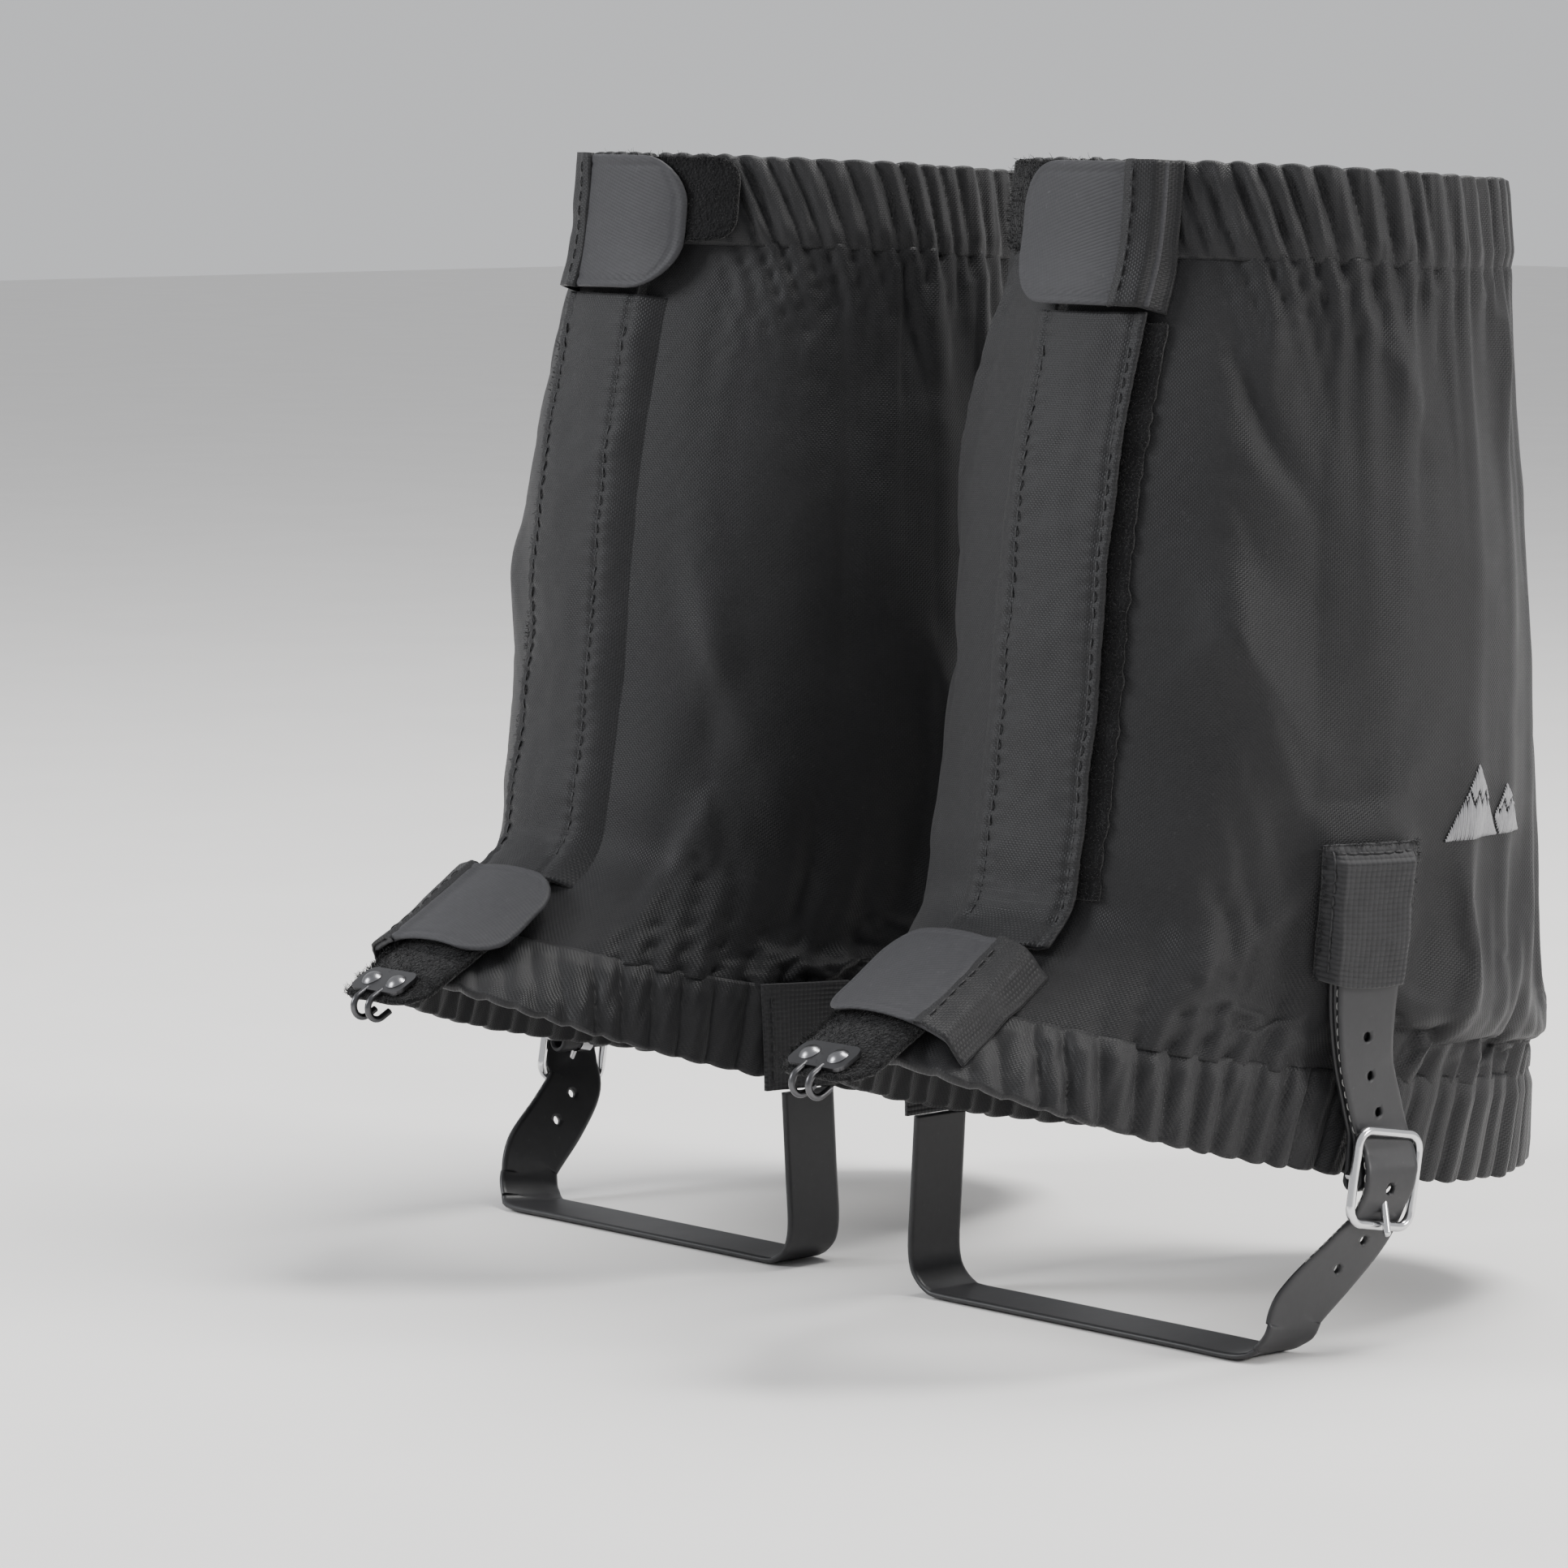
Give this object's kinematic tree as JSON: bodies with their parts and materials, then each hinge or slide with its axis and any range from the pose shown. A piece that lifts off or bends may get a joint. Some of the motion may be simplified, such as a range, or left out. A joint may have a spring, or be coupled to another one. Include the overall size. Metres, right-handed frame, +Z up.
{
  "type": "hiking gaiters",
  "caption": "Pair of low ankle gaiters: woven shell tubes with elastic hems, front flap and closing tabs, lace hooks and buckled instep straps.",
  "frame": {"origin": "between the two gaiters, level with the underside of the instep straps and with the front-to-back middle of the boots' arches", "axes": "+Z up the leg, toes towards -Y, the wearer's left gaiter at +X and the right one at -X"},
  "size_m": [0.2756, 0.2031, 0.2472],
  "materials": {
    "shell_cloth": "plain-woven nylon, soft sheen",
    "cuff_cloth": "the same nylon gathered on elastic",
    "elastic": "knitted elastic",
    "loop_tape": "brushed loop pile",
    "hook_tape": "moulded hooks on tape",
    "tab_laminate": "coated laminate with fine lines",
    "hook_metal": "black oxide",
    "rivet_metal": "black oxide, bright edges",
    "strap_coating": "polyurethane-coated webbing",
    "buckle_metal": "nickel plate",
    "keeper_webbing": "coarse woven webbing",
    "thread": "satin stitch"
  },
  "bodies": {
    "left_gaiter": {"left_shell_panel": "shell_cloth", "left_top_hem_casing": "cuff_cloth", "left_top_elastic": "elastic", "left_bottom_hem_casing": "cuff_cloth", "left_bottom_elastic": "elastic", "left_front_loop_strip": "loop_tape", "left_top_tab_loop_patch": "loop_tape", "left_lace_hook_tongue": "loop_tape", "left_lace_hook_plate": "hook_metal", "left_lace_hook_rivets": "rivet_metal", "left_lace_hook_washers": "rivet_metal", "left_buckle_chape": "strap_coating", "left_keeper_patch": "keeper_webbing", "left_strap_anchor_patch": "keeper_webbing", "left_embroidered_peaks": "thread"},
    "left_top_tab": {"left_top_tab": "tab_laminate", "left_top_tab_hook": "hook_tape"},
    "left_bottom_tab": {"left_bottom_tab": "tab_laminate", "left_bottom_tab_hook": "hook_tape"},
    "left_front_flap": {"left_front_flap": "shell_cloth", "left_flap_hook_strip": "hook_tape"},
    "left_instep_strap": {"left_instep_strap": "strap_coating"},
    "left_buckle": {"left_buckle_frame": "buckle_metal"},
    "left_prong": {"left_buckle_prong": "buckle_metal"},
    "right_gaiter": {"right_shell_panel": "shell_cloth", "right_top_hem_casing": "cuff_cloth", "right_top_elastic": "elastic", "right_bottom_hem_casing": "cuff_cloth", "right_bottom_elastic": "elastic", "right_front_loop_strip": "loop_tape", "right_top_tab_loop_patch": "loop_tape", "right_lace_hook_tongue": "loop_tape", "right_lace_hook_plate": "hook_metal", "right_lace_hook_rivets": "rivet_metal", "right_lace_hook_washers": "rivet_metal", "right_buckle_chape": "strap_coating", "right_keeper_patch": "keeper_webbing", "right_strap_anchor_patch": "keeper_webbing", "right_embroidered_peaks": "thread"},
    "right_top_tab": {"right_top_tab": "tab_laminate", "right_top_tab_hook": "hook_tape"},
    "right_bottom_tab": {"right_bottom_tab": "tab_laminate", "right_bottom_tab_hook": "hook_tape"},
    "right_front_flap": {"right_front_flap": "shell_cloth", "right_flap_hook_strip": "hook_tape"},
    "right_instep_strap": {"right_instep_strap": "strap_coating"},
    "right_buckle": {"right_buckle_frame": "buckle_metal"},
    "right_prong": {"right_buckle_prong": "buckle_metal"}
  },
  "joints": [
    {"name": "left_top_tab_hinge", "type": "hinge", "parent": "left_gaiter", "child": "left_top_tab", "pos_m": [0.0927, 0.0002, 0.2309], "axis": [0, 0.1765, 0.9843], "range_deg": [0, 150]},
    {"name": "left_bottom_tab_hinge", "type": "hinge", "parent": "left_gaiter", "child": "left_bottom_tab", "pos_m": [0.0927, -0.045, 0.0788], "axis": [0, 0.8802, 0.4746], "range_deg": [0, 150]},
    {"name": "left_front_flap_hinge", "type": "hinge", "parent": "left_gaiter", "child": "left_front_flap", "pos_m": [0.0653, -0.01382, 0.15396], "axis": [0, -0.163, -0.9866], "range_deg": [0, 120]},
    {"name": "left_instep_strap_swing", "type": "hinge", "parent": "left_gaiter", "child": "left_instep_strap", "pos_m": [0.01965, 0.009, 0.04], "axis": [0, 1, 0], "range_deg": [0, 60], "deforming": ["left_instep_strap"]},
    {"name": "left_buckle_pivot", "type": "hinge", "parent": "left_gaiter", "child": "left_buckle", "pos_m": [0.1285, 0.033, 0.036], "axis": [0, 0.9848, -0.1736], "range_deg": [-8, 25]},
    {"name": "left_prong_lift", "type": "hinge", "parent": "left_buckle", "child": "left_prong", "pos_m": [0.1285, 0.033, 0.036], "axis": [0, -0.9848, 0.1736], "range_deg": [0, 100]},
    {"name": "right_top_tab_hinge", "type": "hinge", "parent": "right_gaiter", "child": "right_top_tab", "pos_m": [-0.0927, 0.0002, 0.2309], "axis": [0, -0.1765, -0.9843], "range_deg": [0, 150]},
    {"name": "right_bottom_tab_hinge", "type": "hinge", "parent": "right_gaiter", "child": "right_bottom_tab", "pos_m": [-0.0927, -0.045, 0.0788], "axis": [0, -0.8802, -0.4746], "range_deg": [0, 150]},
    {"name": "right_front_flap_hinge", "type": "hinge", "parent": "right_gaiter", "child": "right_front_flap", "pos_m": [-0.0653, -0.01382, 0.15396], "axis": [0, 0.163, 0.9866], "range_deg": [0, 120]},
    {"name": "right_instep_strap_swing", "type": "hinge", "parent": "right_gaiter", "child": "right_instep_strap", "pos_m": [-0.01965, 0.009, 0.04], "axis": [0, -1, 0], "range_deg": [0, 60], "deforming": ["right_instep_strap"]},
    {"name": "right_buckle_pivot", "type": "hinge", "parent": "right_gaiter", "child": "right_buckle", "pos_m": [-0.1285, 0.033, 0.036], "axis": [0, -0.9848, 0.1736], "range_deg": [-8, 25]},
    {"name": "right_prong_lift", "type": "hinge", "parent": "right_buckle", "child": "right_prong", "pos_m": [-0.1285, 0.033, 0.036], "axis": [0, 0.9848, -0.1736], "range_deg": [0, 100]},
    {"name": "right_gaiter_spread", "type": "slide", "parent": "left_gaiter", "child": "right_gaiter", "axis": [-1, 0, 0], "range_m": [0, 0.15]}
  ]
}
